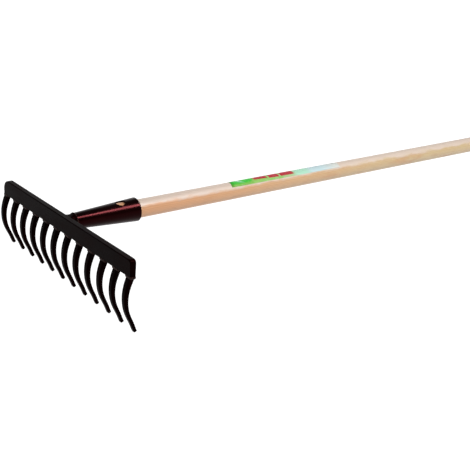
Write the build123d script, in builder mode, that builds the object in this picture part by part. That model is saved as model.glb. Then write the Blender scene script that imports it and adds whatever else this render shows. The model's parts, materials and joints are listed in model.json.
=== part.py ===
"""Level-head garden rake: a flat steel bar with curved tines, a tapered socket and a long wooden handle.

Everything is drawn in the rake's side view, a plane through the middle of the head. In it, x runs
along the handle towards its butt, y stands square to the handle, and z is the row's X, across the
head. The handle's centre line is the x axis, and x = 0 is the middle of the bar's thickness.

The side view leans, so that the tine tips and the butt of the handle both rest on the ground, z = 0.
The origin lies on the ground, halfway along the rake. All sizes are in millimetres.
"""

from build123d import *
import math
import os

os.makedirs("parts", exist_ok=True)

# ---------------------------------------------------------------------------------------------
# Driving dimensions
# ---------------------------------------------------------------------------------------------

# Bar: a flat forged strip, slightly thicker along its top edge, its low-X corner rounded off more
bar_height = 24.8
bar_top_thickness = 9.4
bar_bottom_thickness = 8.4
bar_below_axis = 12.8
bar_edge_radius = 1.4
bar_low_corner_radius = 16.0
bar_high_corner_radius = 5.5

# Tines: butt-welded under the bar, their fronts flush with its front
tine_count = 12
tine_pitch = 32.0
tine_root_width = 11.4
tine_root_thickness = 7.8
tine_tip_width = 6.6
tine_tip_thickness = 4.9
tine_taper_power = 1.3
tine_edge_share = 0.3
tine_tip_radius = 1.4
tine_root_angle = 21.5
tine_root_straight = 9.0
tine_bend_radius = 61.5
tine_tip_angle = 24.6
tine_tip_straight = 26.0
tine_sections = 9

# Weld beads at the tine roots
tine_weld_side_leg = 2.6
tine_weld_face_leg = 0.6
tine_weld_depth = 3.2
tine_weld_lip = 0.3
tine_weld_hollow = 0.35

# Socket: a rolled cone of sheet steel
socket_length = 102.5
socket_wall = 2.0
socket_mouth_radius = 18.0
socket_small_radius = 11.7
socket_edge_radius = 0.6
hole_diameter = 15.0
hole_from_mouth = 27.5
hole_turn = 8.0

# Neck: the solid stub that joins the bar to the socket and plugs its small end
neck_length = 12.0
neck_foot_width = 25.0
neck_foot_height = 18.6
neck_foot_radius = 3.0
neck_waist_place = 6.0
neck_waist_width = 19.5
neck_waist_height = 20.0
neck_waist_radius = 7.0
neck_end_roundness = 0.97
neck_plug_length = 8.0
neck_plug_fit = 0.05

# Weld beads at both ends of the neck
foot_bead_leg = 2.2
foot_bead_rise = 0.8
socket_bead_radius = 0.9

# Handle: a turned wooden pole whose nose is tapered to the socket
handle_diameter = 28.0
handle_length = 1500.0
handle_nose_gap = 2.0
handle_nose_chamfer = 1.5
handle_butt_radius = 9.0
socket_fit = 0.1

# Fixing screw, countersunk into the underside of the socket
screw_from_mouth = 52.0
screw_head_diameter = 8.0
screw_head_depth = 2.4
screw_head_rim = 0.4
screw_head_sink = 0.9
screw_shank_diameter = 4.0
screw_length = 20.0
screw_point_length = 4.0
screw_slot_length = 4.6
screw_slot_width = 0.9
screw_slot_depth = 1.1

# Label: a printed film on the upper side of the handle
label_from_mouth = 178.5
label_length = 234.0
label_half_angle = 48.0
label_thickness = 0.15

# ---------------------------------------------------------------------------------------------
# Places that follow from the sizes
# ---------------------------------------------------------------------------------------------

bar_under = -bar_below_axis
bar_top = bar_height - bar_below_axis
bar_length = (tine_count - 1) * tine_pitch + tine_root_width
bar_rear = bar_bottom_thickness / 2 + (bar_top_thickness - bar_bottom_thickness) / 2 * bar_below_axis / bar_height

tine_root_x = (tine_root_thickness - bar_bottom_thickness) / 2
root_angle = math.radians(tine_root_angle)
tip_angle = math.radians(tine_tip_angle)
tine_end_x = (
    tine_root_x
    - tine_root_straight * math.sin(root_angle)
    + tine_bend_radius * (math.cos(root_angle) - math.cos(tip_angle))
    + tine_tip_straight * math.sin(tip_angle)
)
tine_end_y = (
    bar_under
    - tine_root_straight * math.cos(root_angle)
    - tine_bend_radius * (math.sin(root_angle) + math.sin(tip_angle))
    - tine_tip_straight * math.cos(tip_angle)
)

socket_start = bar_rear + neck_length
socket_mouth = socket_start + socket_length
bore_small_radius = socket_small_radius - socket_wall
bore_mouth_radius = socket_mouth_radius - socket_wall
bore_slope = (bore_mouth_radius - bore_small_radius) / socket_length

handle_radius = handle_diameter / 2
handle_nose = socket_start + neck_plug_length + handle_nose_gap
handle_butt = handle_nose + handle_length

# The ground touches the front lower corner of each tine tip and the rounding of the butt. Both are
# circles in the side view, given by centre and radius, and their common tangent sets the lean.
tip_circle_x = tine_end_x - tine_tip_radius * math.sin(tip_angle) + (
    tine_tip_radius - tine_tip_thickness / 2
) * math.cos(tip_angle)
tip_circle_y = tine_end_y + tine_tip_radius * math.cos(tip_angle) + (
    tine_tip_radius - tine_tip_thickness / 2
) * math.sin(tip_angle)
butt_circle_x = handle_butt - handle_butt_radius
butt_circle_y = handle_butt_radius - handle_radius
reach = butt_circle_x - tip_circle_x
drop = butt_circle_y - tip_circle_y
lean = math.atan2(drop, reach) + math.asin((tine_tip_radius - handle_butt_radius) / math.hypot(reach, drop))

along = Vector(0, math.cos(lean), -math.sin(lean))
axis_height = butt_circle_x * math.sin(lean) - butt_circle_y * math.cos(lean) + handle_butt_radius

# The rearmost point is the rounded upper rim of the butt, and the foremost one the front of the bend
# in the tines.
rearmost = butt_circle_x * math.cos(lean) - butt_circle_y * math.sin(lean) + handle_butt_radius
tine_length = (
    tine_root_straight + tine_bend_radius * (root_angle + tip_angle) + tine_tip_straight
)


def tine_size(share, root, tip):
    """Width or thickness of a tine at a share of its length, 0 at the bar and 1 at the tip."""
    return tip + (root - tip) * (1 - share) ** tine_taper_power


bend_front_share = (tine_root_straight + tine_bend_radius * (root_angle + lean)) / tine_length
bend_front_x = (
    tine_root_x
    - tine_root_straight * math.sin(root_angle)
    + tine_bend_radius * (math.cos(root_angle) - math.cos(lean))
)
bend_front_y = (
    bar_under
    - tine_root_straight * math.cos(root_angle)
    - tine_bend_radius * (math.sin(root_angle) + math.sin(lean))
)
foremost = (
    bend_front_x * math.cos(lean)
    + bend_front_y * math.sin(lean)
    - tine_size(bend_front_share, tine_root_thickness, tine_tip_thickness) / 2
)

side = Plane(origin=(0, -(rearmost + foremost) / 2, axis_height), x_dir=along, z_dir=(1, 0, 0))
side_axis = Axis(side.origin, side.x_dir)


def across(x):
    """Plane square to the handle at x. Its y points up and its z towards the butt."""
    return Plane(side.from_local_coords((x, 0, 0)), x_dir=(-1, 0, 0), z_dir=side.x_dir)


def level(y):
    """Plane level with the handle at height y. Its x is the row's X and its z points up."""
    return Plane(side.from_local_coords((0, y, 0)), x_dir=(1, 0, 0), z_dir=side.y_dir)


def bore_radius(x):
    """Inner radius of the socket at x along the handle."""
    return bore_small_radius + (x - socket_start) * bore_slope


def write(builder, name):
    """Label one finished sub-part and write it as its own file."""
    builder.part.label = name
    export_step(builder.part, f"parts/{name}.step")


# ---------------------------------------------------------------------------------------------
# Bar: the section runs the whole width of the head, and its front outline rounds the top corners
# ---------------------------------------------------------------------------------------------

with BuildPart() as head_bar:
    with BuildSketch(side):
        with BuildLine():
            Polyline(
                (-bar_bottom_thickness / 2, bar_under),
                (bar_bottom_thickness / 2, bar_under),
                (bar_top_thickness / 2, bar_top),
                (-bar_top_thickness / 2, bar_top),
                close=True,
            )
        make_face()
    extrude(amount=bar_length / 2, both=True)
    with BuildSketch(across(0)):
        with Locations((0, (bar_top + bar_under) / 2)):
            Rectangle(bar_length, bar_height)
        fillet(vertices().group_by(Axis.Y)[-1].sort_by(Axis.X)[-1], radius=bar_low_corner_radius)
        fillet(vertices().group_by(Axis.Y)[-1].sort_by(Axis.X)[0], radius=bar_high_corner_radius)
    extrude(amount=bar_top_thickness, both=True, mode=Mode.INTERSECT)
    fillet(edges(), radius=bar_edge_radius)

write(head_bar, "head_bar")


# ---------------------------------------------------------------------------------------------
# Tines: each is drawn down from the bar in a straight, one long bend and a straight point
# ---------------------------------------------------------------------------------------------

def tine_solid(offset):
    """One tine at an offset along the bar. Its first section lies flat on the bar's underside."""
    with BuildPart() as blank:
        with BuildLine(side.offset(offset)) as centre:
            root = PolarLine(
                start=(tine_root_x, bar_under),
                length=tine_root_straight,
                angle=-90 - tine_root_angle,
            )
            bend = JernArc(
                start=root @ 1,
                tangent=root % 1,
                radius=tine_bend_radius,
                arc_size=tine_root_angle + tine_tip_angle,
            )
            PolarLine(start=bend @ 1, length=tine_tip_straight, angle=-90 + tine_tip_angle)
        path = centre.wires()[0]
        for step in range(tine_sections):
            share = step / (tine_sections - 1)
            width = tine_size(share, tine_root_width, tine_tip_width)
            thickness = tine_size(share, tine_root_thickness, tine_tip_thickness)
            normal = path % share if step else -side.y_dir
            with BuildSketch(Plane(path @ share, x_dir=(1, 0, 0), z_dir=normal)):
                RectangleRounded(width, thickness, thickness * tine_edge_share)
        loft()
        fillet(faces().sort_by(Axis.Z)[0].edges(), radius=tine_tip_radius)
    return blank


def tine_offset(index):
    """Place of a tine along the bar, counted from 0 at the low-X end."""
    return (index - (tine_count - 1) / 2) * tine_pitch


tines = [tine_solid(tine_offset(index)) for index in range(tine_count)]
for number, tine in enumerate(tines, start=1):
    write(tine, f"tine_{number:02d}")


# ---------------------------------------------------------------------------------------------
# Tine welds: a hollow-faced bead round each root, trimmed level with the ends of the bar
# ---------------------------------------------------------------------------------------------

def tine_weld_solid(tine, offset):
    """The bead in the corner between one tine and the underside of the bar."""
    with BuildPart() as bead:
        for depth_share, leg_share in ((0, 1), (tine_weld_hollow, tine_weld_hollow), (1, 0)):
            depth = tine_weld_depth * depth_share
            centre_x = tine_root_x - depth * math.tan(root_angle)
            width = tine_root_width + 2 * (tine_weld_lip + tine_weld_side_leg * leg_share)
            thickness = tine_root_thickness + 2 * (tine_weld_lip + tine_weld_face_leg * leg_share)
            with BuildSketch(level(bar_under - depth)):
                with Locations((offset, centre_x)):
                    RectangleRounded(width, thickness, tine_root_thickness * tine_edge_share)
        loft()
        add(tine.part, mode=Mode.SUBTRACT)
        for bar_end in (Plane.YZ.offset(bar_length / 2), Plane.ZY.offset(bar_length / 2)):
            split(bisect_by=bar_end, keep=Keep.BOTTOM)
    return bead


with BuildPart() as tine_welds:
    for index, tine in enumerate(tines):
        add(tine_weld_solid(tine, tine_offset(index)).part)

write(tine_welds, "tine_welds")


# ---------------------------------------------------------------------------------------------
# Fixing screw: a countersunk head just inside the socket's underside, a shank and a point
# ---------------------------------------------------------------------------------------------

screw_x = socket_mouth - screw_from_mouth
screw_seat = screw_head_sink - bore_radius(screw_x) - socket_wall
screw_plane = Plane(side.from_local_coords((screw_x, screw_seat, 0)), x_dir=side.x_dir, z_dir=side.z_dir)


def screw_shape(recess):
    """The screw without its cross, its head carried outwards by a recess when it is used as a cutter."""
    with BuildPart() as shape:
        with BuildSketch(screw_plane):
            with BuildLine():
                Polyline(
                    (0, -recess),
                    (screw_head_diameter / 2, -recess),
                    (screw_head_diameter / 2, screw_head_rim),
                    (screw_shank_diameter / 2, screw_head_depth),
                    (screw_shank_diameter / 2, screw_length - screw_point_length),
                    (0, screw_length),
                    close=True,
                )
            make_face()
        revolve(axis=Axis(screw_plane.origin, screw_plane.y_dir))
    return shape.part


screw_hole = screw_shape(2 * screw_head_sink)

with BuildPart() as socket_screw:
    add(screw_shape(0))
    with BuildSketch(Plane(screw_plane.origin, x_dir=(1, 0, 0), z_dir=side.y_dir)):
        Rectangle(screw_slot_length, screw_slot_width)
        Rectangle(screw_slot_width, screw_slot_length)
    extrude(amount=screw_slot_depth, mode=Mode.SUBTRACT)

write(socket_screw, "socket_screw")


# ---------------------------------------------------------------------------------------------
# Socket: a cone of even wall with a round hole on top and a countersunk one below
# ---------------------------------------------------------------------------------------------

with BuildPart() as socket:
    with BuildSketch(side):
        with BuildLine():
            Polyline(
                (socket_start, bore_small_radius),
                (socket_start, socket_small_radius),
                (socket_mouth, socket_mouth_radius),
                (socket_mouth, bore_mouth_radius),
                close=True,
            )
        make_face()
        fillet(vertices().sort_by(side_axis)[-2:], radius=socket_edge_radius)
    revolve(axis=side_axis)
    with BuildSketch(level(0).rotated((0, hole_turn, 0))):
        with Locations((0, socket_mouth - hole_from_mouth)):
            Circle(hole_diameter / 2)
    extrude(amount=2 * socket_mouth_radius, mode=Mode.SUBTRACT)
    add(screw_hole, mode=Mode.SUBTRACT)

write(socket, "socket")


# ---------------------------------------------------------------------------------------------
# Neck: a forged stub from a flat foot on the bar to a round plug inside the socket
# ---------------------------------------------------------------------------------------------

with BuildPart() as socket_neck:
    with BuildSketch(across(bar_bottom_thickness / 2)):
        RectangleRounded(neck_foot_width, neck_foot_height, neck_foot_radius)
    with BuildSketch(across(bar_rear + neck_waist_place)):
        RectangleRounded(neck_waist_width, neck_waist_height, neck_waist_radius)
    with BuildSketch(across(socket_start)):
        RectangleRounded(
            2 * socket_small_radius,
            2 * socket_small_radius,
            neck_end_roundness * socket_small_radius,
        )
    loft()
    with BuildSketch(across(socket_start)):
        Circle(bore_small_radius - neck_plug_fit)
    extrude(amount=neck_plug_length)
    add(head_bar.part, mode=Mode.SUBTRACT)

write(socket_neck, "socket_neck")


# ---------------------------------------------------------------------------------------------
# Neck welds: a bead between foot and bar, and a round bead where the neck meets the socket
# ---------------------------------------------------------------------------------------------

with BuildPart() as bar_weld:
    with BuildSketch(across(bar_bottom_thickness / 2)):
        RectangleRounded(
            neck_foot_width + 2 * foot_bead_leg,
            neck_foot_height + 2 * foot_bead_rise,
            neck_foot_radius + foot_bead_rise,
        )
    with BuildSketch(across(bar_rear + foot_bead_leg)):
        RectangleRounded(neck_foot_width, neck_foot_height, neck_foot_radius)
    loft()
    add(head_bar.part, mode=Mode.SUBTRACT)
    add(socket_neck.part, mode=Mode.SUBTRACT)

write(bar_weld, "bar_weld")

with BuildPart() as socket_weld:
    with BuildSketch(side):
        with Locations((socket_start, socket_small_radius)):
            Circle(socket_bead_radius)
    revolve(axis=side_axis)
    add(socket_neck.part, mode=Mode.SUBTRACT)
    add(socket.part, mode=Mode.SUBTRACT)

write(socket_weld, "socket_weld")


# ---------------------------------------------------------------------------------------------
# Handle: a round pole, tapered where it sits in the socket and rounded at the butt
# ---------------------------------------------------------------------------------------------

taper_end = socket_start + (handle_radius + socket_fit - bore_small_radius) / bore_slope

with BuildPart() as handle:
    with BuildSketch(side):
        with BuildLine():
            Polyline(
                (handle_nose, 0),
                (handle_nose, bore_radius(handle_nose) - socket_fit),
                (taper_end, handle_radius),
                (handle_butt, handle_radius),
                (handle_butt, 0),
                close=True,
            )
        make_face()
    revolve(axis=side_axis)
    chamfer(faces().sort_by(side_axis)[0].edges(), length=handle_nose_chamfer)
    fillet(faces().sort_by(side_axis)[-1].edges(), radius=handle_butt_radius)
    add(screw_hole, mode=Mode.SUBTRACT)

write(handle, "handle")


# ---------------------------------------------------------------------------------------------
# Label: a thin film that wraps the upper side of the handle
# ---------------------------------------------------------------------------------------------

with BuildPart() as label:
    with BuildSketch(across(socket_mouth + label_from_mouth)):
        with BuildLine():
            outer = CenterArc(
                center=(0, 0),
                radius=handle_radius + label_thickness,
                start_angle=90 - label_half_angle,
                arc_size=2 * label_half_angle,
            )
            inner = CenterArc(
                center=(0, 0),
                radius=handle_radius,
                start_angle=90 - label_half_angle,
                arc_size=2 * label_half_angle,
            )
            Line(outer @ 0, inner @ 0)
            Line(outer @ 1, inner @ 1)
        make_face()
    extrude(amount=label_length)

write(label, "label")
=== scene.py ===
# %% [markdown]
# # A garden rake in steel and wood
#
# The rake is a straight forged bar with twelve curved tines, a tapered socket and a long turned
# pole. The parts with real sizes come in as a fixed frame, and this script gives them their
# finish: black lacquer, rippled weld beads, pale wood, a zinc screw and a printed film.

# %% Load the frame
import json
import math

import bmesh
import bpy
from mathutils import Matrix, Vector


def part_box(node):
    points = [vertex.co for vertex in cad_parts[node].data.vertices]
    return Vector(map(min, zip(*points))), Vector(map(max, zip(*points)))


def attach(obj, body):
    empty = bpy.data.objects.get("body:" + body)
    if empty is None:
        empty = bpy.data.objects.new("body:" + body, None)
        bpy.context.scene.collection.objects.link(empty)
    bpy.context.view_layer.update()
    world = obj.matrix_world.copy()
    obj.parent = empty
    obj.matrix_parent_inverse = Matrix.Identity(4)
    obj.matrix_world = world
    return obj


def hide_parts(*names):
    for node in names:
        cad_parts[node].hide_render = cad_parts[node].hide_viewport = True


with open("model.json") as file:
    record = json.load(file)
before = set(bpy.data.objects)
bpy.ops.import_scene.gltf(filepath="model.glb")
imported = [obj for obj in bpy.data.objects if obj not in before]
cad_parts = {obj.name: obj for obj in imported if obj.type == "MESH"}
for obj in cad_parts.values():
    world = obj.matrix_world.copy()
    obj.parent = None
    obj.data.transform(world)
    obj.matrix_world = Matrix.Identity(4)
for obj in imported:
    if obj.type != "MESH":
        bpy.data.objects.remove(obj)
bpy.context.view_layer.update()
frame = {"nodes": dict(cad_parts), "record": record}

nodes = frame["nodes"]
print("nodes:", ", ".join(sorted(nodes)))

# %% [markdown]
# ## The rake's own directions
#
# The rake lies with its tine tips and the butt of its pole on the ground, so the pole slopes by a
# few degrees. Almost everything is easier to place in directions that follow the pole: across the
# head, along the pole, and square to it. They could be typed in, but the frame already knows the
# pole's line from its grip, so they are read from there and can't drift from it.

# %% Directions and places
MM = 0.001

grip = next(m for m in frame["record"]["mounts"] if m["name"] == "handle_grip")
pole_direction = Vector(grip["axis"]).normalized()
pole_radius = grip["dims"]["r_mm"] * MM
lean = math.atan2(-pole_direction.z, pole_direction.y)
across_head = Vector((1, 0, 0))
square_up = across_head.cross(pole_direction)

bar_low, bar_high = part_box("head_bar")
bar_middle = (bar_low + bar_high) / 2
grip_point = Vector(grip["pos_m"])
rake_origin = grip_point + pole_direction * (bar_middle - grip_point).dot(pole_direction)
rake_frame = Matrix.Translation(rake_origin) @ Matrix.Rotation(-lean, 4, "X")


def along_pole(point):
    """How far along the pole a point lies, counted from the middle of the bar."""
    return (point - rake_origin).dot(pole_direction)


def height_over_pole(point):
    """How far a point lies above the pole's centre line, square to it."""
    return (point - rake_origin).dot(square_up)


bar_end = bar_high.x
corners = [v.co for v in nodes["head_bar"].data.vertices]
bar_under = min(height_over_pole(c) for c in corners)
bar_rear = max(along_pole(c) for c in corners)
socket_mouth = max(along_pole(v.co) for v in nodes["socket"].data.vertices)
tine_names = sorted(name for name in nodes if name.startswith("tine_") and name != "tine_welds")
print(f"lean {math.degrees(lean):.2f} deg, {len(tine_names)} tines, bar {2 * bar_end / MM:.0f} mm")

# %% [markdown]
# ## Small helpers for materials
#
# Every finish here is made of nodes, and the helpers keep the recipes readable. Four do the wiring:
# one starts a material and hands back its shader, one adds a node with its settings, one joins two
# sockets, and one feeds a socket a link, a number or a colour. Another gives a pattern the rake's own
# directions, so grain runs along the pole and not along the ground. The rest are the usual steps of
# a recipe: a noise, a colour ramp, a blend of two colours, some arithmetic, a value mapped between
# limits, and a stack of bumps.

# %% Material helpers
def new_material(name):
    """A fresh node material and its Principled shader."""
    material = bpy.data.materials.new(name)
    material.use_nodes = True
    shader = material.node_tree.nodes["Principled BSDF"]
    return material, shader


def add(material, kind, settings=None, **inputs):
    """Add a node, set its properties from settings and its input sockets by name."""
    node = material.node_tree.nodes.new(kind)
    for key, value in (settings or {}).items():
        setattr(node, key, value)
    for key, value in inputs.items():
        node.inputs[key.replace("_", " ")].default_value = value
    return node


def join(material, source, target):
    """Join an output socket to an input socket."""
    material.node_tree.links.new(source, target)


def rake_coordinates(material, stretch=(1, 1, 1)):
    """Coordinates in the rake's own directions: across, along the pole, and square to it."""
    place = add(material, "ShaderNodeTexCoord")
    turn = add(material, "ShaderNodeMapping", {"vector_type": "TEXTURE"})
    turn.inputs["Location"].default_value = rake_origin
    turn.inputs["Rotation"].default_value = (-lean, 0, 0)
    join(material, place.outputs["Object"], turn.inputs["Vector"])
    scale = add(material, "ShaderNodeMapping")
    scale.inputs["Scale"].default_value = stretch
    join(material, turn.outputs["Vector"], scale.inputs["Vector"])
    return scale.outputs["Vector"]


def noise(material, vector, scale, detail=4.0, roughness=0.55):
    """A noise pattern; scale counts features per metre."""
    node = add(material, "ShaderNodeTexNoise", Scale=scale, Detail=detail, Roughness=roughness)
    join(material, vector, node.inputs["Vector"])
    return node.outputs["Fac"]


def ramp(material, factor, stops):
    """A colour ramp from (position, colour) stops."""
    node = add(material, "ShaderNodeValToRGB")
    elements = node.color_ramp.elements
    while len(elements) < len(stops):
        elements.new(0.5)
    for element, (position, colour) in zip(elements, stops):
        element.position = position
        element.color = (*colour, 1.0)
    join(material, factor, node.inputs["Fac"])
    return node.outputs["Color"]


def feed(material, socket, value):
    """Give an input socket a link, a number or a colour."""
    if isinstance(value, bpy.types.NodeSocket):
        join(material, value, socket)
    elif isinstance(value, (int, float)):
        socket.default_value = value
    else:
        socket.default_value = (*value, 1.0)


def mix(material, factor, first, second):
    """Blend two colours. Each may be a socket or a plain colour."""
    node = add(material, "ShaderNodeMix", {"data_type": "RGBA"})
    # The node keeps sockets for every kind of data. These are the ones for colours.
    factor_socket, first_socket, second_socket = node.inputs[0], node.inputs[6], node.inputs[7]
    feed(material, factor_socket, factor)
    feed(material, first_socket, first)
    feed(material, second_socket, second)
    return node.outputs[2]


def math_node(material, operation, first, second=0.0):
    """One step of arithmetic on sockets or numbers."""
    node = add(material, "ShaderNodeMath", {"operation": operation})
    feed(material, node.inputs[0], first)
    feed(material, node.inputs[1], second)
    return node.outputs[0]


def plus(material, total, *others):
    """Add sockets and numbers, from the left."""
    for other in others:
        total = math_node(material, "ADD", total, other)
    return total


def times(material, product, *others):
    """Multiply sockets and numbers, from the left."""
    for other in others:
        product = math_node(material, "MULTIPLY", product, other)
    return product


def sum_of_squares(material, first, second):
    """The sum of the squares of two sockets."""
    return plus(material, times(material, first, first), times(material, second, second))


def away_from(material, value, middle):
    """How far a value lies from a middle, on either side."""
    return math_node(material, "ABSOLUTE", math_node(material, "SUBTRACT", value, middle))


def span(material, value, low, high, to_low=0.0, to_high=1.0):
    """Map a value between two limits onto another pair, smoothly and clamped."""
    node = add(material, "ShaderNodeMapRange", {"interpolation_type": "SMOOTHSTEP", "clamp": True})
    join(material, value, node.inputs["Value"])
    for key, number in (("From Min", low), ("From Max", high), ("To Min", to_low), ("To Max", to_high)):
        node.inputs[key].default_value = number
    return node.outputs["Result"]


def relief(material, shader, layers):
    """Stack bump layers, each (height socket, distance in metres, strength), on the shader's normal."""
    normal = None
    for height, distance, strength in layers:
        bump = add(material, "ShaderNodeBump", Distance=distance, Strength=strength)
        join(material, height, bump.inputs["Height"])
        if normal is not None:
            join(material, normal, bump.inputs["Normal"])
        normal = bump.outputs["Normal"]
    join(material, normal, shader.inputs["Normal"])


print("material helpers ready")

# %% [markdown]
# ## Black lacquer
#
# The head is forged, ground and dipped in black lacquer with a faint wine-red cast, which shows
# where light grazes it. A flat black would look like plastic. Here the colour drifts a little, the
# gloss is uneven where the film ran, and two bumps lie under it: the fine orange peel of a baked
# film and the slow hammered waves of the forging. The wine-red cast is put in the tint of the
# reflection, because the body colour of a black film is almost nothing. The bar and the tines are
# dull, so their reflection is very weak. The smooth socket gets a stronger and sharper one.

# %% Lacquer recipe
LACQUER_DEEP = (0.0012, 0.0001, 0.0001)
LACQUER_THIN = (0.0030, 0.0004, 0.0003)
LACQUER_TINT = (1.0, 0.14, 0.17, 1.0)
LACQUER_IOR = 1.3
HEAD_SHINE = 0.026
HEAD_ROUGHNESS = (0.26, 0.40)
SOCKET_SHINE = 0.22
SOCKET_ROUGHNESS = (0.19, 0.24)
HEAD_DEPTHS = (0.02 * MM, 0.10 * MM)
SOCKET_DEPTHS = (0.01 * MM, 0.04 * MM)


def make_lacquer(name, stretch, shine, roughness, depths):
    """Black lacquer over forged steel.

    stretch sets the direction that the forging marks run in, shine the strength of the reflection,
    roughness its two limits, and depths the height of the orange peel and of the forging waves.
    """
    peel_depth, wave_depth = depths
    material, shader = new_material(name)
    even = rake_coordinates(material)
    drawn = rake_coordinates(material, stretch)
    runs = noise(material, drawn, 55, detail=3)
    peel = noise(material, even, 1500, detail=2)
    dust = noise(material, even, 420, detail=6, roughness=0.7)
    thin = span(material, runs, 0.42, 0.72)
    colour = mix(material, thin, LACQUER_DEEP, LACQUER_THIN)
    join(material, colour, shader.inputs["Base Color"])
    film_roughness = span(material, runs, 0.3, 0.7, *roughness)
    dust_roughness = span(material, dust, 0.58, 0.72, 0.0, 0.12)
    join(material, plus(material, film_roughness, dust_roughness), shader.inputs["Roughness"])
    shader.inputs["IOR"].default_value = LACQUER_IOR
    shader.inputs["Specular IOR Level"].default_value = shine
    shader.inputs["Specular Tint"].default_value = LACQUER_TINT
    relief(material, shader, [(runs, wave_depth, 0.5), (peel, peel_depth, 0.5)])
    return material


bar_lacquer = make_lacquer("bar_lacquer", (0.35, 1, 1), HEAD_SHINE, HEAD_ROUGHNESS, HEAD_DEPTHS)
tine_lacquer = make_lacquer("tine_lacquer", (1.6, 1.6, 0.4), HEAD_SHINE, HEAD_ROUGHNESS, HEAD_DEPTHS)
socket_lacquer = make_lacquer(
    "socket_lacquer", (1.5, 0.3, 1.5), SOCKET_SHINE, SOCKET_ROUGHNESS, SOCKET_DEPTHS
)
print("lacquers:", bar_lacquer.name, tine_lacquer.name, socket_lacquer.name)

# %% [markdown]
# ## Weld lacquer
#
# A weld bead keeps its ripples under the lacquer, and the heat beside it leaves a dull brown skin
# that the dip doesn't quite hide. The same black is used with a rougher surface, and brown comes
# through in patches. The brown is partly that heat tint and partly a painted glint, the brown gleam
# of light on the weld edge at the neck.

# %% Weld recipe
WELD_DARK = (0.002, 0.001, 0.001)
WELD_SKIN = (0.009, 0.003, 0.002)
# Brown for heat tint and for a painted glint on the welds.
WELD_HEAT_AND_GLINT_BROWN = (0.022, 0.009, 0.005)
WELD_TINT = (1.0, 0.35, 0.30, 1.0)
WELD_SHINE = 0.3


def make_weld_lacquer():
    """Dull lacquer over a weld, with brown patches of heat tint and painted glint."""
    material, shader = new_material("weld_lacquer")
    even = rake_coordinates(material)
    scale_skin = noise(material, even, 900, detail=5, roughness=0.65)
    patches = noise(material, even, 160, detail=3)
    # Brown patches: partly heat tint, partly a painted glint on the weld beads.
    heat_and_glint = span(material, patches, 0.5, 0.75)
    skin = ramp(material, scale_skin, [(0.3, WELD_DARK), (0.75, WELD_SKIN)])
    colour = mix(material, heat_and_glint, skin, WELD_HEAT_AND_GLINT_BROWN)
    join(material, colour, shader.inputs["Base Color"])
    join(material, span(material, scale_skin, 0.3, 0.7, 0.34, 0.6), shader.inputs["Roughness"])
    shader.inputs["IOR"].default_value = LACQUER_IOR
    shader.inputs["Specular IOR Level"].default_value = WELD_SHINE
    shader.inputs["Specular Tint"].default_value = WELD_TINT
    relief(material, shader, [(scale_skin, 0.00012, 0.6)])
    return material


weld_lacquer = make_weld_lacquer()
print("weld:", weld_lacquer.name)

# %% [markdown]
# ## Pole wood
#
# The pole is pale, straight-grained hardwood. Three things make such wood believable, and each is
# a pattern of its own: growth rings, which a turned pole cuts into long wavering lines; short dark
# flecks and pores along the grain; and slow patches of warmer and paler colour. The rings are made
# as distance from a pith that lies beside the pole, so the same recipe also draws true end grain
# on the butt. The wood is warmest next to the socket and paler towards the butt, and a fine mottle of
# darker stain lies over it. Its upper side is painted a dusty, pinkish white with a ragged edge, a
# painted sheen for the light that falls on the top of the pole. It is left off inside the socket, where
# no light reaches it.

# %% Wood recipe
WOOD_WARM = (0.430, 0.210, 0.095)
WOOD_PALE = (0.375, 0.285, 0.148)
WOOD_LATE = (0.270, 0.130, 0.055)
# Painted sheen: the pinkish white painted on the pole's upper side for the light from above.
WOOD_PAINTED_SHEEN = (0.430, 0.350, 0.295)
WOOD_FLECK = (0.270, 0.120, 0.050)
WOOD_AMBER = (0.350, 0.145, 0.045)
PITH_ASIDE = -0.021
PITH_BELOW = -0.013
RING_WANDER = 0.010
RINGS_PER_METRE = 420.0
PAINTED_SHEEN_STARTS = 5.0 * MM
PAINTED_SHEEN_FULL = 11.0 * MM
PAINTED_SHEEN_RAGGED = 14 * MM
SHEEN_TINT = (1.0, 0.94, 0.90, 1.0)


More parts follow.
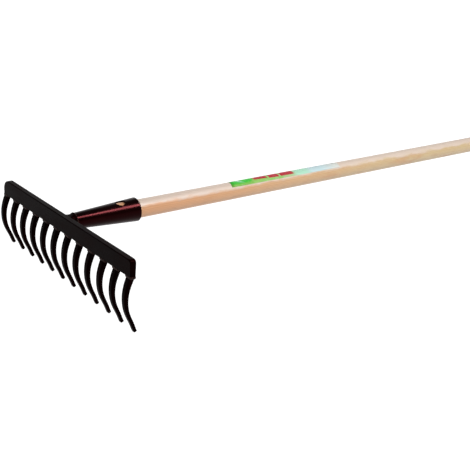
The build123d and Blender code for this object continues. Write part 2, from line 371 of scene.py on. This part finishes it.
def make_wood():
    """Pale turned hardwood with rings, flecks, pores, slow colour patches and a painted sheen on top."""
    material, shader = new_material("pole_wood")
    even = rake_coordinates(material)
    cloudy = rake_coordinates(material, (1, 0.30, 1))
    sway = noise(material, rake_coordinates(material, (1, 0.045, 1)), 26, detail=3, roughness=0.5)

    parts = add(material, "ShaderNodeSeparateXYZ")
    join(material, even, parts.inputs["Vector"])
    across, along, above = parts.outputs["X"], parts.outputs["Y"], parts.outputs["Z"]
    aside = plus(material, across, PITH_ASIDE, times(material, sway, RING_WANDER))
    below = plus(material, above, PITH_BELOW)
    radius = math_node(material, "SQRT", sum_of_squares(material, aside, below))
    rings = math_node(material, "FRACT", times(material, radius, RINGS_PER_METRE))
    late = span(material, rings, 0.35, 0.97)

    patches = noise(material, cloudy, 38, detail=3)
    toward_butt = span(material, along, 0.10, 0.75)
    tone = mix(material, toward_butt, WOOD_WARM, WOOD_PALE)
    warm_patch = span(material, patches, 0.50, 0.78, 0.0, 0.75)
    tone = mix(material, warm_patch, tone, WOOD_AMBER)
    tone = mix(material, times(material, late, 0.36), tone, WOOD_LATE)

    streaks = noise(material, rake_coordinates(material, (1, 0.018, 1)), 900, detail=3)
    tone = mix(material, span(material, streaks, 0.52, 0.80, 0.0, 0.42), tone, WOOD_LATE)
    flecks = add(material, "ShaderNodeTexVoronoi", Scale=620.0, Randomness=1.0)
    join(material, rake_coordinates(material, (1, 0.11, 1)), flecks.inputs["Vector"])
    fleck = span(material, flecks.outputs["Distance"], 0.10, 0.22, 1.0, 0.0)
    fleck = times(material, fleck, span(material, patches, 0.38, 0.62))
    tone = mix(material, times(material, fleck, 0.5), tone, WOOD_FLECK)

    mottle = noise(material, cloudy, 120, detail=5, roughness=0.65)
    tone = mix(material, span(material, mottle, 0.50, 0.72, 0.0, 0.30), tone, WOOD_LATE)
    # Painted sheen: above a ragged height over the pole's centre line the wood is painted pinkish white
    # for the light from above, but not inside the socket.
    ragged = times(material, math_node(material, "SUBTRACT", mottle, 0.5), PAINTED_SHEEN_RAGGED)
    sheen_height = plus(material, above, ragged)
    painted_sheen = span(material, sheen_height, PAINTED_SHEEN_STARTS, PAINTED_SHEEN_FULL, 0.0, 0.9)
    outside_socket = span(material, along, socket_mouth - 2 * MM, socket_mouth + 1 * MM)
    painted_sheen = times(material, painted_sheen, outside_socket)
    tone = mix(material, painted_sheen, tone, WOOD_PAINTED_SHEEN)
    join(material, tone, shader.inputs["Base Color"])

    join(material, span(material, streaks, 0.3, 0.75, 0.40, 0.58), shader.inputs["Roughness"])
    shader.inputs["Specular IOR Level"].default_value = 0.35
    shader.inputs["Coat Weight"].default_value = 0.25
    shader.inputs["Coat Roughness"].default_value = 0.62
    shader.inputs["Coat IOR"].default_value = 1.6
    shader.inputs["Sheen Weight"].default_value = 0.3
    shader.inputs["Sheen Roughness"].default_value = 0.5
    shader.inputs["Sheen Tint"].default_value = SHEEN_TINT
    relief(material, shader, [(streaks, 0.00006, 0.5), (late, 0.00003, 0.4), (fleck, 0.00004, -0.5)])
    return material


pole_wood = make_wood()
print("wood:", pole_wood.name)

# %% [markdown]
# ## Zinc screw
#
# A bright zinc-plated wood screw holds the head on the pole from below. Plating is a metal with a
# fine crystal cloud, so a small noise drives both its colour and its roughness.

# %% Zinc recipe
ZINC_DARK = (0.42, 0.43, 0.42)
ZINC_BRIGHT = (0.66, 0.64, 0.58)


def make_zinc():
    """Zinc plating with a crystal cloud and fine scratches."""
    material, shader = new_material("zinc_plate")
    even = rake_coordinates(material)
    cloud = noise(material, even, 700)
    scratches = noise(material, rake_coordinates(material, (1, 0.06, 1)), 3000, detail=2)
    colour = ramp(material, cloud, [(0.3, ZINC_DARK), (0.7, ZINC_BRIGHT)])
    join(material, colour, shader.inputs["Base Color"])
    shader.inputs["Metallic"].default_value = 1.0
    join(material, span(material, cloud, 0.3, 0.7, 0.24, 0.42), shader.inputs["Roughness"])
    relief(material, shader, [(scratches, 0.00001, 0.4)])
    return material


zinc_plate = make_zinc()
print("zinc:", zinc_plate.name)

# %% [markdown]
# ## Finish for the parts of the frame
#
# The parts that came with the frame keep their shape. Only the material in their slots changes.

# %% Dress the frame's parts
finishes = {
    "head_bar": bar_lacquer,
    "socket_neck": bar_lacquer,
    "socket": socket_lacquer,
    "socket_screw": zinc_plate,
    "handle": pole_wood,
}
for tine_name in tine_names:
    finishes[tine_name] = tine_lacquer
for name, material in finishes.items():
    mesh = nodes[name].data
    mesh.materials.clear()
    mesh.materials.append(material)
print("dressed", len(finishes), "nodes")

# %% [markdown]
# ## Weld beads
#
# A weld bead is a row of small overlapping puddles, each a little flattened by the next. It could
# be left as a smooth fillet with a bump on it, but its outline shows against the light, so it is
# modelled. One ring of vertices is carried round the joint: each step extrudes the ring, moves it
# on, and swells or narrows it as the puddles do. The last ring is bridged to the first.

# %% Bead builder
BEAD_SIDES = 10
RIPPLE_DEPTH = 0.16
OUTLINE_POINTS = 720
STEPS_PER_PUDDLE = 5
FEWEST_PUDDLES = 8


def superellipse(angle, half_width, half_height, squareness):
    """A point on a rounded rectangle: squareness 2 is an ellipse, and higher is squarer."""
    cosine, sine = math.cos(angle), math.sin(angle)
    x = math.copysign(abs(cosine) ** (2 / squareness), cosine) * half_width
    y = math.copysign(abs(sine) ** (2 / squareness), sine) * half_height
    return Vector((x, y, 0))


def ring_stations(half_width, half_height, squareness, steps):
    """Evenly spaced points round a rounded rectangle, with the way out at each."""
    fine = [
        superellipse(2 * math.pi * k / OUTLINE_POINTS, half_width, half_height, squareness)
        for k in range(OUTLINE_POINTS)
    ]
    lengths = [(fine[(k + 1) % OUTLINE_POINTS] - fine[k]).length for k in range(OUTLINE_POINTS)]
    total = sum(lengths)
    walked = 0.0
    wanted = 0.0
    stations = []
    for k, length in enumerate(lengths):
        if walked >= wanted and len(stations) < steps:
            tangent = (fine[(k + 2) % OUTLINE_POINTS] - fine[k - 2]).normalized()
            stations.append((fine[k], tangent.cross(Vector((0, 0, 1)))))
            wanted = total * len(stations) / steps
        walked += length
    return stations, total


def weld_bead(mesh, place, half_width, half_height, squareness, side_size, face_size, rise, puddle):
    """Carry a rippled ring round a joint.

    place turns the joint's plane into the rake's frame. side_size and face_size are how far the bead
    reaches out at its sides and at its faces, rise is its height, and puddle is the length of one.
    """
    _, length = ring_stations(half_width, half_height, squareness, FEWEST_PUDDLES)
    puddles = max(FEWEST_PUDDLES, round(length / puddle))
    stations, _ = ring_stations(half_width, half_height, squareness, puddles * STEPS_PER_PUDDLE)
    transforms = []
    for k, (point, outward) in enumerate(stations):
        share = (k % STEPS_PER_PUDDLE) / STEPS_PER_PUDDLE
        swell = 1 - RIPPLE_DEPTH + RIPPLE_DEPTH * math.sin(math.pi * share) * 2
        sideways = abs(outward.x)
        reach = (face_size + (side_size - face_size) * sideways ** 2) * swell
        axes = Matrix((outward, Vector((0, 0, 1)), outward.cross(Vector((0, 0, 1))))).transposed()
        size = Matrix.Diagonal((reach, rise * swell, 1, 1))
        transforms.append(place @ Matrix.Translation(point) @ axes.to_4x4() @ size)
    ring = bmesh.ops.create_circle(mesh, segments=BEAD_SIDES, radius=1.0, matrix=transforms[0])["verts"]
    first = list({e for v in ring for e in v.link_edges})
    edges = first
    for before, after in zip(transforms, transforms[1:]):
        made = bmesh.ops.extrude_edge_only(mesh, edges=edges)["geom"]
        moved = [g for g in made if isinstance(g, bmesh.types.BMVert)]
        edges = [g for g in made if isinstance(g, bmesh.types.BMEdge)]
        edges = [e for e in edges if e.verts[0] in moved and e.verts[1] in moved]
        bmesh.ops.transform(mesh, matrix=after @ before.inverted(), verts=moved)
    bmesh.ops.bridge_loops(mesh, edges=edges + first)
    return puddles


def finish_piece(name, mesh, material):
    """Turn a bmesh into a piece that rides on the rake's one body."""
    bmesh.ops.remove_doubles(mesh, verts=mesh.verts, dist=1e-6)
    bmesh.ops.recalc_face_normals(mesh, faces=mesh.faces)
    for face in mesh.faces:
        face.smooth = True
    data = bpy.data.meshes.new(name)
    mesh.to_mesh(data)
    mesh.free()
    data.materials.append(material)
    piece = bpy.data.objects.new(name, data)
    bpy.context.collection.objects.link(piece)
    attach(piece, "root")
    print(f"{name}: {len(data.polygons)} faces")
    return piece


print("bead builder ready:", STEPS_PER_PUDDLE, "steps to a puddle")

# %% [markdown]
# ### Beads at the tine roots
#
# Each tine stands on a bead that is broad on its two sides, where the welder has room, and thin in
# front and behind. The two outer tines stand flush with the ends of the bar, and their beads were
# ground off level there, so those are cut by a plane and closed.

# %% Tine beads
TINE_BEAD_SIDE = 2.3 * MM
TINE_BEAD_FACE = 0.5 * MM
TINE_BEAD_RISE = 2.0 * MM
TINE_PUDDLE = 1.5 * MM
BEAD_SQUARENESS = 5.0
GRIND_DEPTH = 0.02 * MM
ROOT_ZONE = 0.4 * MM

beads = bmesh.new()
puddle_count = 0
for tine_name in tine_names:
    tine_points = [v.co for v in nodes[tine_name].data.vertices]
    near_bar = [c for c in tine_points if height_over_pole(c) > bar_under - ROOT_ZONE]
    low_x, high_x = min(c.x for c in near_bar), max(c.x for c in near_bar)
    front, rear = min(map(along_pole, near_bar)), max(map(along_pole, near_bar))
    root = rake_frame @ Matrix.Translation(((low_x + high_x) / 2, (front + rear) / 2, bar_under))
    puddle_count += weld_bead(
        beads,
        root,
        (high_x - low_x) / 2,
        (rear - front) / 2,
        BEAD_SQUARENESS,
        TINE_BEAD_SIDE,
        TINE_BEAD_FACE,
        TINE_BEAD_RISE,
        TINE_PUDDLE,
    )
for side in (-1, 1):
    everything = list(beads.verts) + list(beads.edges) + list(beads.faces)
    plane_point = Vector((side * (bar_end - GRIND_DEPTH), 0, 0))
    cut = bmesh.ops.bisect_plane(
        beads, geom=everything, plane_co=plane_point, plane_no=(side, 0, 0), clear_outer=True
    )
    rim = [g for g in cut["geom_cut"] if isinstance(g, bmesh.types.BMEdge)]
    bmesh.ops.holes_fill(beads, edges=rim, sides=0)
tine_beads = finish_piece("tine_beads", beads, weld_lacquer)
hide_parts("tine_welds")
print(puddle_count, "puddles in", len(tine_names), "beads")

# %% [markdown]
# ### Beads on the neck
#
# The neck is welded twice: its foot to the back of the bar, and its round end to the socket. Both
# use the same builder, with the joint's plane turned to face along the pole.

# %% Neck beads
FOOT_BEAD = 1.9 * MM
FOOT_BEAD_FACE = 0.85 * MM
FOOT_TUCK_SIDE = 2.2 * MM
FOOT_TUCK_FACE = 0.9 * MM
FOOT_SINK = 0.2 * MM
NECK_BEAD = 0.85 * MM
NECK_BEAD_RISE = 1.2 * NECK_BEAD
NECK_TUCK = 0.95 * MM
NECK_PUDDLE = 1.8 * MM
ROUND = 2.0

facing_along_pole = Matrix.Rotation(math.radians(-90), 4, "X")
foot = [v.co for v in nodes["bar_weld"].data.vertices]
foot_half_width = max(c.x for c in foot) - FOOT_TUCK_SIDE
foot_top = max(map(height_over_pole, foot))
foot_low = min(map(height_over_pole, foot))
foot_half_height = (foot_top - foot_low) / 2 - FOOT_TUCK_FACE
foot_place = Matrix.Translation((0, bar_rear - FOOT_SINK, (foot_top + foot_low) / 2))

foot_mesh = bmesh.new()
weld_bead(
    foot_mesh,
    rake_frame @ foot_place @ facing_along_pole,
    foot_half_width,
    foot_half_height,
    BEAD_SQUARENESS,
    FOOT_BEAD,
    FOOT_BEAD_FACE,
    FOOT_BEAD,
    NECK_PUDDLE,
)
foot_bead = finish_piece("foot_bead", foot_mesh, weld_lacquer)
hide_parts("bar_weld")

ring = [v.co for v in nodes["socket_weld"].data.vertices]
ring_middle = (min(map(along_pole, ring)) + max(map(along_pole, ring))) / 2
ring_radius = max(c.x for c in ring) - NECK_TUCK
ring_mesh = bmesh.new()
weld_bead(
    ring_mesh,
    rake_frame @ Matrix.Translation((0, ring_middle, 0)) @ facing_along_pole,
    ring_radius,
    ring_radius,
    ROUND,
    NECK_BEAD,
    NECK_BEAD,
    NECK_BEAD_RISE,
    NECK_PUDDLE,
)
socket_bead = finish_piece("socket_bead", ring_mesh, weld_lacquer)
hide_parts("socket_weld")

# %% [markdown]
# ## Printed label
#
# The label is a thin printed film wrapped over the top of the pole. Its print is generic: a green
# field with a pale notch, a broken red stripe along the crown, soft green rounds beside it, and a
# pale end. The pattern has to follow the wrap, so the film carries its own UV map: U runs
# along the pole and V round it. Each shape in the print is a short piece of arithmetic on U and V.

# %% Print recipe
PRINT_GREEN = (0.020, 0.350, 0.020)
PRINT_LEAF = (0.110, 0.300, 0.030)
PRINT_LIME = (0.170, 0.340, 0.065)
PRINT_SOFT = (0.270, 0.350, 0.180)
PRINT_RED = (0.310, 0.005, 0.016)
PRINT_DARK_RED = (0.220, 0.045, 0.020)
PRINT_AQUA = (0.260, 0.460, 0.340)
PRINT_PALE = (0.330, 0.430, 0.450)
PRINT_FADED = (0.420, 0.430, 0.400)
PRINT_DOTS = (0.150, 0.350, 0.070)
PRINT_WEAR = (0.45, 0.46, 0.42)
LIME_TO_SOFT = (0.20, 0.62)
SOFT_TO_AQUA = (0.52, 0.60)
AQUA_TO_PALE = (0.66, 0.74)
PALE_TO_FADED = (0.80, 1.00)
GREEN_END = (0.235, 0.260)
LEAF_END = (0.16, 0.20)
NOTCH_PLACE = 0.052
DOTS_START = (0.20, 0.23)
DOTS_END = (0.44, 0.50)
DOTS_PER_LENGTH = 13.0
DOTS_ASIDE = 0.42
FIRST_GAP = 0.316
SECOND_GAP = 0.422
STRIPE_START = (0.186, 0.196)
STRIPE_END = (0.548, 0.558)


def make_print():
    """The printed film, drawn on the label's own U (along) and V (round)."""
    material, shader = new_material("printed_film")
    plan = add(material, "ShaderNodeUVMap", {"uv_map": "print"})
    parts = add(material, "ShaderNodeSeparateXYZ")
    join(material, plan.outputs["UV"], parts.inputs["Vector"])
    u, v = parts.outputs["X"], parts.outputs["Y"]
    even = rake_coordinates(material)
    ink = noise(material, even, 260, detail=5, roughness=0.6)
    blot = noise(material, even, 70, detail=2)

    crown = away_from(material, v, 0.5)
    field = mix(material, span(material, u, *LIME_TO_SOFT), PRINT_LIME, PRINT_SOFT)
    field = mix(material, span(material, u, *SOFT_TO_AQUA), field, PRINT_AQUA)
    field = mix(material, span(material, u, *AQUA_TO_PALE), field, PRINT_PALE)
    field = mix(material, span(material, u, *PALE_TO_FADED), field, PRINT_FADED)
    green_end = plus(material, u, times(material, blot, 0.10), times(material, crown, 0.10))
    field = mix(material, span(material, green_end, *GREEN_END), PRINT_GREEN, field)

    outside = span(material, crown, 0.20, 0.42)
    leaf = times(material, outside, span(material, u, *LEAF_END, 1.0, 0.0))
    field = mix(material, leaf, field, PRINT_LEAF)
    slant = plus(material, u, times(material, crown, -0.16))
    notch = span(material, away_from(material, slant, NOTCH_PLACE), 0.008, 0.024, 0.8, 0.0)
    notch = times(material, notch, span(material, crown, 0.10, 0.34, 1.0, 0.0))
    field = mix(material, notch, field, PRINT_AQUA)

    beat = math_node(material, "FRACT", times(material, u, DOTS_PER_LENGTH))
    dot_u = times(material, math_node(material, "SUBTRACT", beat, 0.5), 0.30)
    dot_v = math_node(material, "SUBTRACT", crown, DOTS_ASIDE)
    dots = span(material, sum_of_squares(material, dot_u, dot_v), 0.006, 0.013, 0.9, 0.0)
    dots_on = span(material, u, *DOTS_START)
    dots_off = span(material, u, *DOTS_END, 1.0, 0.0)
    field = mix(material, times(material, dots, dots_on, dots_off), field, PRINT_DOTS)

    clear_of_first = span(material, away_from(material, u, FIRST_GAP), 0.006, 0.012)
    clear_of_second = span(material, away_from(material, u, SECOND_GAP), 0.005, 0.011)
    stripe_half = span(material, u, 0.18, 0.40, 0.20, 0.32)
    inside = math_node(material, "SUBTRACT", stripe_half, crown)
    stripe_side = span(material, inside, 0.0, 0.012)
    stripe_on = span(material, u, *STRIPE_START)
    stripe_off = span(material, u, *STRIPE_END, 1.0, 0.0)
    stripe = times(material, clear_of_first, clear_of_second, stripe_side, stripe_on, stripe_off)
    red = mix(material, span(material, inside, 0.02, 0.05), PRINT_DARK_RED, PRINT_RED)
    field = mix(material, stripe, field, red)

    worn = mix(material, span(material, ink, 0.45, 0.75, 0.0, 0.10), field, PRINT_WEAR)
    join(material, worn, shader.inputs["Base Color"])
    join(material, span(material, ink, 0.3, 0.7, 0.42, 0.56), shader.inputs["Roughness"])
    shader.inputs["Specular IOR Level"].default_value = 0.25
    relief(material, shader, [(ink, 0.00002, 0.4)])
    return material


printed_film = make_print()
print("print:", printed_film.name)

# %% [markdown]
# The film itself is made the way it is put on: one straight line of points laid along the pole is
# spun round the pole's centre line, which sweeps out the wrapped sheet. Its four corners are
# rounded, its leading edge is turned a little askew, as hand-laid labels are, and the sheet is
# given its thickness inwards, down to the wood.

# %% Label film
LABEL_STEPS = 46
WRAP_STEPS = 28
CORNER_ROUND = 1.2 * MM
EDGE_SKEW = 2.2 * MM
GLUE_GAP = 0.01 * MM

film_points = [v.co for v in nodes["label"].data.vertices]
film_start, film_end = min(map(along_pole, film_points)), max(map(along_pole, film_points))
film_radius = max(map(height_over_pole, film_points))
film_side = max(c.x for c in film_points)
half_wrap = math.asin(film_side / film_radius)

film = bmesh.new()
bmesh.ops.create_vert(film, co=(film_side, film_start, film_radius * math.cos(half_wrap)))
start = film.verts[:]
step = (film_end - film_start) / LABEL_STEPS
for _ in range(LABEL_STEPS):
    made = bmesh.ops.extrude_vert_indiv(film, verts=start)
    start = made["verts"]
    bmesh.ops.translate(film, verts=start, vec=(0, step, 0))
bmesh.ops.spin(
    film,
    geom=film.verts[:] + film.edges[:],
    cent=(0, 0, 0),
    axis=(0, 1, 0),
    angle=-2 * half_wrap,
    steps=WRAP_STEPS,
    use_merge=False,
    use_duplicate=False,
)
film_corners = [v for v in film.verts if len(v.link_edges) == 2]
bmesh.ops.bevel(
    film, geom=film_corners, offset=CORNER_ROUND, segments=4, profile=0.5, affect="VERTICES", material=-1
)
leading_edge = [v for v in film.verts if v.co.y < film_start + 0.3 * step]
# The edge's way along the pole now depends on its way across, which shears it.
askew = Matrix.Translation((0, -EDGE_SKEW, 0))
askew[1][0] = -EDGE_SKEW / film_side
bmesh.ops.transform(film, matrix=askew, verts=leading_edge)
bmesh.ops.recalc_face_normals(film, faces=film.faces)
if sum(face.normal.z for face in film.faces) < 0:
    bmesh.ops.reverse_faces(film, faces=film.faces)
print_layer = film.loops.layers.uv.new("print")
for face in film.faces:
    for loop in face.loops:
        turn = math.atan2(loop.vert.co.x, loop.vert.co.z)
        along_film = (loop.vert.co.y - film_start) / (film_end - film_start)
        loop[print_layer].uv = (along_film, 0.5 - turn / (2 * half_wrap))
bmesh.ops.solidify(film, geom=film.faces[:], thickness=film_radius - pole_radius - GLUE_GAP)
bmesh.ops.transform(film, matrix=rake_frame, verts=film.verts)
label_film = finish_piece("label_film", film, printed_film)
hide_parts("label")
print(f"film {(film_end - film_start) / MM:.0f} mm long, wrapped {math.degrees(2 * half_wrap):.0f} deg")

# %% [markdown]
# ## Floor and sky
#
# The rake lies on a floor that glows as brightly as the haze at the horizon, so both come out white
# and hardly any shadow is left under the rake. Higher up the sky is much dimmer. A bright sky would
# wash out the wood and put a grey veil on the lacquer.

# %% Floor and sky
FLOOR_GLOW = 1.0
HORIZON_GLOW = 1.0
SKY_GLOW = 0.22
FLOOR_HALF_SIZE = 30.0
FLOOR_DARK = (0.14, 0.14, 0.14)
FLOOR_LIGHT = (0.18, 0.18, 0.18)
WHITE = (1.0, 1.0, 1.0, 1.0)


def make_floor_material():
    """A matt floor that glows white. The tone under its glow drifts a little."""
    material, shader = new_material("studio_floor")
    place = add(material, "ShaderNodeTexCoord")
    drift = noise(material, place.outputs["Object"], 0.8, detail=2)
    tone = mix(material, drift, FLOOR_DARK, FLOOR_LIGHT)
    join(material, tone, shader.inputs["Base Color"])
    shader.inputs["Emission Color"].default_value = WHITE
    shader.inputs["Emission Strength"].default_value = FLOOR_GLOW
    shader.inputs["Roughness"].default_value = 0.9
    shader.inputs["Specular IOR Level"].default_value = 0.0
    return material


floor_mesh = bmesh.new()
bmesh.ops.create_grid(floor_mesh, x_segments=1, y_segments=1, size=FLOOR_HALF_SIZE)
floor_data = bpy.data.meshes.new("studio_floor")
floor_mesh.to_mesh(floor_data)
floor_mesh.free()
floor_data.materials.append(make_floor_material())
floor = bpy.data.objects.new("studio_floor", floor_data)
bpy.context.collection.objects.link(floor)

world = bpy.data.worlds.new("studio")
bpy.context.scene.world = world
world.use_nodes = True
direction = add(world, "ShaderNodeTexCoord")
heading = add(world, "ShaderNodeSeparateXYZ")
join(world, direction.outputs["Generated"], heading.inputs["Vector"])
glow = span(world, heading.outputs["Z"], 0.05, 0.22, HORIZON_GLOW, SKY_GLOW)
background = world.node_tree.nodes["Background"]
join(world, glow, background.inputs["Strength"])
background.inputs["Color"].default_value = WHITE
bpy.context.scene.view_settings.view_transform = "Standard"
print("floor glow", FLOOR_GLOW, "and sky glow", SKY_GLOW)

# %% [markdown]
# ## Lights
#
# Black lacquer shows its shape only by what it reflects. The key light is small and stands where the
# upper side of the socket mirrors it to the camera, which draws one clean streak along the socket.
# Two broad lights do the rest for the pole: a stronger one on its far side and a weak one on its
# near side.

# %% Lights
def soft_light(name, place, aim, width, length, power):
    """A rectangular light at a place, facing its aim."""
    data = bpy.data.lights.new(name, "AREA")
    data.shape = "RECTANGLE"
    data.size, data.size_y = width, length
    data.energy = power
    lamp = bpy.data.objects.new(name, data)
    lamp.location = place
    lamp.rotation_euler = (aim - place).to_track_quat("-Z", "Y").to_euler()
    bpy.context.collection.objects.link(lamp)


KEY_DIRECTION = Vector((0.482, 0.478, 0.735))
KEY_DISTANCE = 2.0
FAR_OFFSET = Vector((-2.2, 0.6, 1.1))
NEAR_OFFSET = Vector((2.0, -0.8, 0.7))

middle = rake_origin + pole_direction * 0.5
soft_light("key", rake_origin + KEY_DIRECTION * KEY_DISTANCE, rake_origin, 0.36, 0.60, 50)
soft_light("far_side", middle + FAR_OFFSET, middle, 3.0, 1.6, 14)
soft_light("near_side", middle + NEAR_OFFSET, middle, 2.6, 1.0, 3)

# %% [markdown]
# ## Camera
#
# The camera has a short telephoto lens. It stands beyond the head and to one side, looks down a
# little, and is tipped by a degree or two.

# %% Camera
VIEW_AZIMUTH = math.radians(51.07)
VIEW_HEIGHT = math.radians(23.53)
VIEW_ROLL = math.radians(1.59)
VIEW_DISTANCE = 1.2856
LENS = 70.12
SENSOR = 36.0
VIEW_AIM = rake_origin + Vector((0.1538, 0.1853, -0.0096))

camera_data = bpy.data.cameras.new("camera")
camera_data.sensor_width = SENSOR
camera_data.lens = LENS
camera = bpy.data.objects.new("camera", camera_data)
camera.matrix_world = (
    Matrix.Translation(VIEW_AIM)
    @ Matrix.Rotation(VIEW_AZIMUTH, 4, "Z")
    @ Matrix.Rotation(math.pi / 2 - VIEW_HEIGHT, 4, "X")
    @ Matrix.Rotation(VIEW_ROLL, 4, "Z")
    @ Matrix.Translation((0, 0, VIEW_DISTANCE))
)
bpy.context.collection.objects.link(camera)
bpy.context.scene.camera = camera
print("camera at", [round(c, 3) for c in camera.matrix_world.translation])
